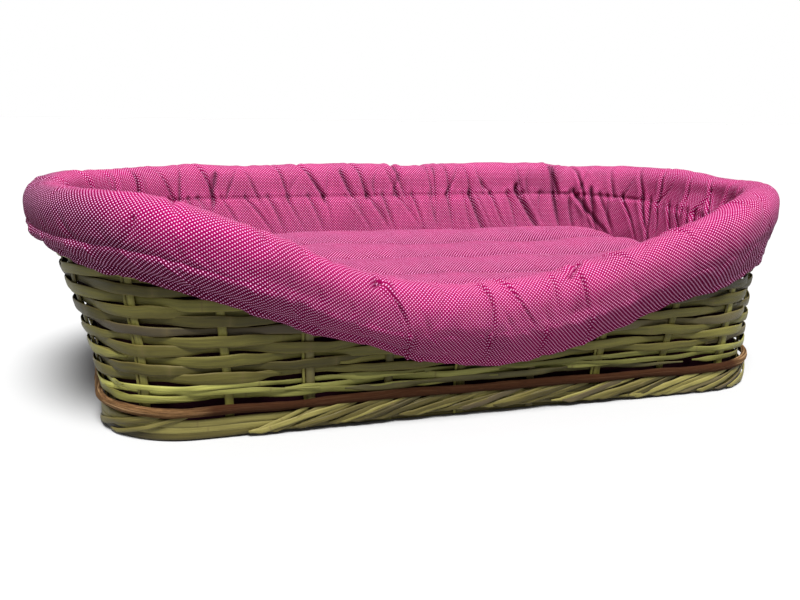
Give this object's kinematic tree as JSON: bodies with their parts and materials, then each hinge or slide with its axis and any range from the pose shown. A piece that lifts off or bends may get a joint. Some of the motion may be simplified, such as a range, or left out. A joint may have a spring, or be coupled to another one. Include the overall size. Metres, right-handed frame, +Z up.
{
  "type": "wicker pet bed basket",
  "caption": "Oblong split-bamboo pet bed basket with flared woven walls and a dipped front, a padded polka-dot cotton liner rolled over the rim, and a loose quilted cushion.",
  "frame": {"origin": "centre of the footprint on the floor", "axes": "+X along the length, to the right as seen from the dipped front; -Y is the dipped front; +Z up"},
  "size_m": [0.8514, 0.4618, 0.2285],
  "materials": {
    "bamboo": "satin",
    "bamboo_pale": "satin",
    "bamboo_foot": "satin",
    "cane": "matte",
    "cotton_print": "matte",
    "wadding": "matte",
    "elastic": "matte"
  },
  "bodies": {
    "basket": {"foot_border_outer": "bamboo_foot", "foot_border_inner": "bamboo_foot", "foot_hoop": "cane", "base_frame_hoop": "cane", "base_cross_splints": "bamboo", "base_long_splints": "bamboo_pale", "stakes_main": "bamboo", "stakes_side": "bamboo_pale", "waling_row_1": "bamboo_pale", "waling_row_2": "bamboo_pale", "waling_row_3": "bamboo_pale", "weaver_row_01": "bamboo", "weaver_row_02": "bamboo", "weaver_row_03": "bamboo_pale", "weaver_row_04": "bamboo", "weaver_row_05": "bamboo", "weaver_row_06": "bamboo_pale", "weaver_row_07": "bamboo", "weaver_row_08": "bamboo", "weaver_row_09": "bamboo_pale", "weaver_row_10": "bamboo", "weaver_row_11": "bamboo", "weaver_row_12": "bamboo_pale", "weaver_row_13": "bamboo", "weaver_row_14": "bamboo", "rim_outer_hoop": "bamboo_pale", "rim_inner_hoop": "bamboo_pale", "rim_lashing": "cane"},
    "liner": {"liner_cover": "cotton_print", "liner_wadding": "wadding", "liner_base_panel": "cotton_print", "liner_hem_casing": "cotton_print", "liner_elastic": "elastic"},
    "cushion": {"cushion_top_panel": "cotton_print", "cushion_bottom_panel": "cotton_print", "cushion_filling": "wadding"}
  },
  "joints": [
    {"name": "liner_lift", "type": "slide", "parent": "basket", "child": "liner", "axis": [0, 0, 1], "range_m": [0, 0.3], "deforming": ["liner_hem_casing", "liner_elastic"]},
    {"name": "cushion_lift", "type": "slide", "parent": "liner", "child": "cushion", "axis": [0, 0, 1], "range_m": [0, 0.3]}
  ]
}
